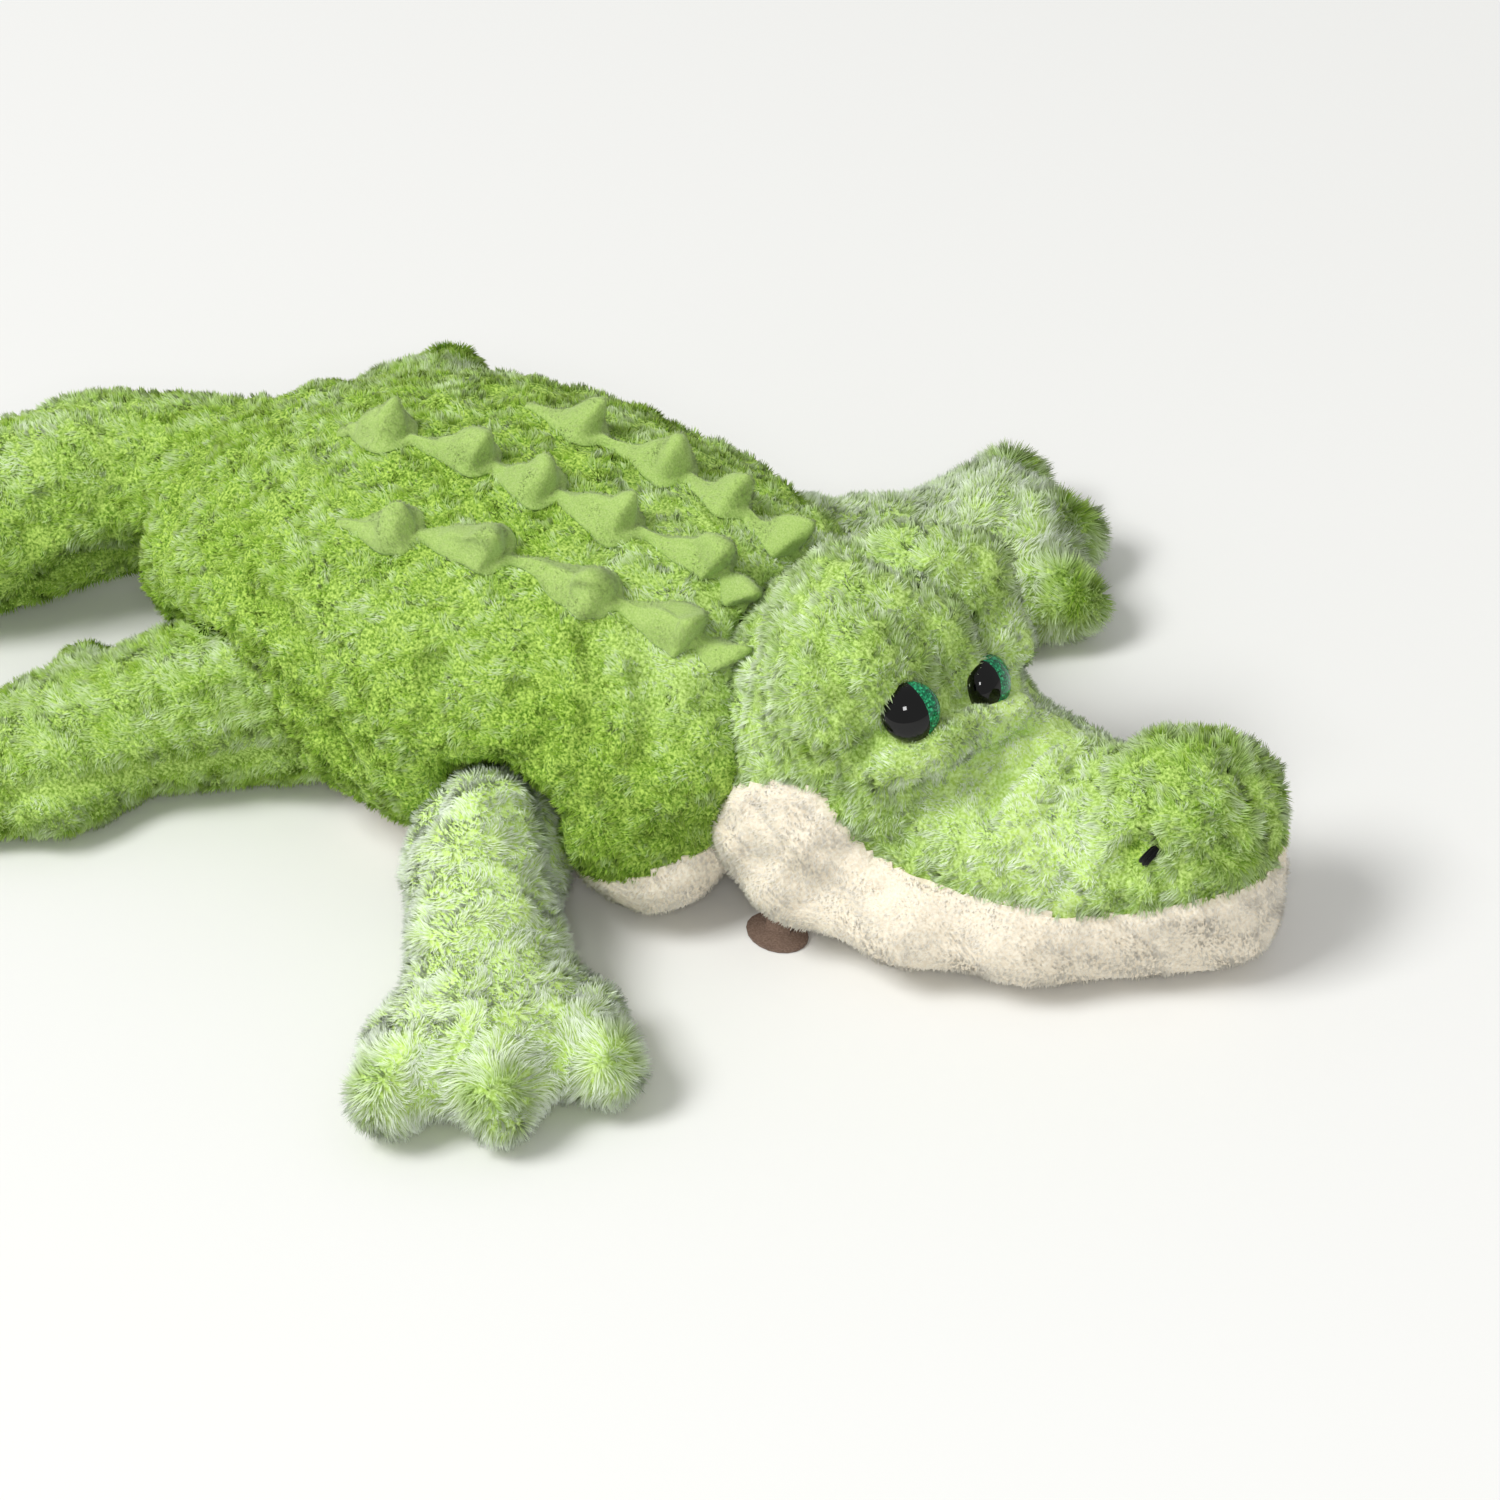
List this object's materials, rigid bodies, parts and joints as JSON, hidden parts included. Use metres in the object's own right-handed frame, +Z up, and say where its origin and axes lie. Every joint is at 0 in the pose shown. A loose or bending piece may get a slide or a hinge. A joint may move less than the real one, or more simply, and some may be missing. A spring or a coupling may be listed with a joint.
{
  "type": "plush crocodile",
  "caption": "Stuffed crocodile lying on its belly, with a turning head and tail, splayed legs, rows of back scutes and safety eyes.",
  "frame": {"origin": "middle of the belly's flat resting patch, on the floor", "axes": "+X towards the nose, +Y to the crocodile's left, +Z up"},
  "size_m": [0.746, 0.4265, 0.1507],
  "materials": {
    "green_plush": "two-tone frosted pile, light tips over a saturated green",
    "cream_plush": "cream pile",
    "short_plush": "smooth short pile, mid green",
    "fibre_filling": "loose white polyester fibre",
    "eye_gloss": "black with a green glitter crescent, glossy",
    "washer_nylon": "natural nylon",
    "black_thread": "thick black thread",
    "brown_suede": "grey-brown suede"
  },
  "bodies": {
    "torso": {"body_back_cover": "green_plush", "belly_panel": "cream_plush", "body_filling": "fibre_filling", "scute_strip_right": "short_plush", "scute_strip_middle": "short_plush", "scute_strip_left": "short_plush"},
    "head": {"head_crown_cover": "green_plush", "muzzle_cover": "green_plush", "jaw_panel": "cream_plush", "head_filling": "fibre_filling", "eye_right": "eye_gloss", "eye_left": "eye_gloss", "eye_washer_right": "washer_nylon", "eye_washer_left": "washer_nylon", "nostril_stitch_right": "black_thread", "nostril_stitch_left": "black_thread", "jaw_tag": "brown_suede"},
    "tail": {"tail_cover": "green_plush", "tail_filling": "fibre_filling"},
    "front_right_leg": {"front_right_leg_cover": "green_plush", "front_right_leg_filling": "fibre_filling"},
    "front_left_leg": {"front_left_leg_cover": "green_plush", "front_left_leg_filling": "fibre_filling"},
    "hind_right_leg": {"hind_right_leg_cover": "green_plush", "hind_right_leg_filling": "fibre_filling"},
    "hind_left_leg": {"hind_left_leg_cover": "green_plush", "hind_left_leg_filling": "fibre_filling"}
  },
  "joints": [
    {"name": "neck_turn", "type": "hinge", "parent": "torso", "child": "head", "pos_m": [0.157, 0.004, 0.05], "axis": [0, 0, 1], "range_deg": [-14, 14], "stiffness_Nm_per_rad": 0.8},
    {"name": "tail_swing", "type": "hinge", "parent": "torso", "child": "tail", "pos_m": [-0.144, 0.014, 0.05], "axis": [0, 0, 1], "range_deg": [-17, 5], "stiffness_Nm_per_rad": 0.5},
    {"name": "front_right_swing", "type": "hinge", "parent": "torso", "child": "front_right_leg", "pos_m": [0.05319, -0.09604, 0.03], "axis": [0, 0, 1], "range_deg": [-14, 18], "stiffness_Nm_per_rad": 0.3},
    {"name": "front_left_swing", "type": "hinge", "parent": "torso", "child": "front_left_leg", "pos_m": [0.05414, 0.08399, 0.03], "axis": [0, 0, 1], "range_deg": [-18, 14], "stiffness_Nm_per_rad": 0.3},
    {"name": "hind_right_swing", "type": "hinge", "parent": "torso", "child": "hind_right_leg", "pos_m": [-0.07005, -0.05596, 0.03], "axis": [0, 0, 1], "range_deg": [-6, 22], "stiffness_Nm_per_rad": 0.3},
    {"name": "hind_left_swing", "type": "hinge", "parent": "torso", "child": "hind_left_leg", "pos_m": [-0.07384, 0.05998, 0.03], "axis": [0, 0, 1], "range_deg": [-22, 6], "stiffness_Nm_per_rad": 0.3}
  ]
}
